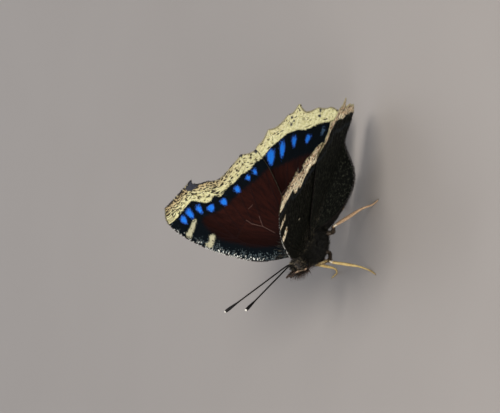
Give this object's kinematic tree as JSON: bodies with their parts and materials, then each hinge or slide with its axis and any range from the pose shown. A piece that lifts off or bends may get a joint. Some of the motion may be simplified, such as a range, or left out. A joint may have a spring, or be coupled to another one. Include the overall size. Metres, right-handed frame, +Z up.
{
  "type": "mourning cloak butterfly",
  "caption": "Life-size still butterfly standing head-up on its walking legs with dark, pale-edged wings held half open in a V.",
  "frame": {"origin": "on the floor under the middle of the model's box", "axes": "+Z up from the floor, +X to the animal's left, +Y towards the tail"},
  "size_m": [0.069, 0.0512, 0.0346],
  "materials": {
    "wing_scales": "velvety maroon-brown scales, black band with blue spots and a cream margin",
    "body_fur": "black-brown hair over dark cuticle",
    "eye_facets": "glossy dark brown, finely faceted",
    "feeler_cuticle": "black, pale at the tip",
    "leg_cuticle": "buff, satin, finely scaled"
  },
  "bodies": {
    "root": {"head": "body_fur", "thorax": "body_fur", "abdomen": "body_fur", "proboscis": "feeler_cuticle", "eye_left": "eye_facets", "eye_right": "eye_facets", "antenna_left": "feeler_cuticle", "antenna_right": "feeler_cuticle", "palp_left": "body_fur", "palp_right": "body_fur", "forewing_left": "wing_scales", "forewing_right": "wing_scales", "hindwing_left": "wing_scales", "hindwing_right": "wing_scales", "foreleg_left": "leg_cuticle", "foreleg_right": "leg_cuticle", "midleg_left": "leg_cuticle", "midleg_right": "leg_cuticle", "hindleg_left": "leg_cuticle", "hindleg_right": "leg_cuticle"}
  },
  "joints": []
}
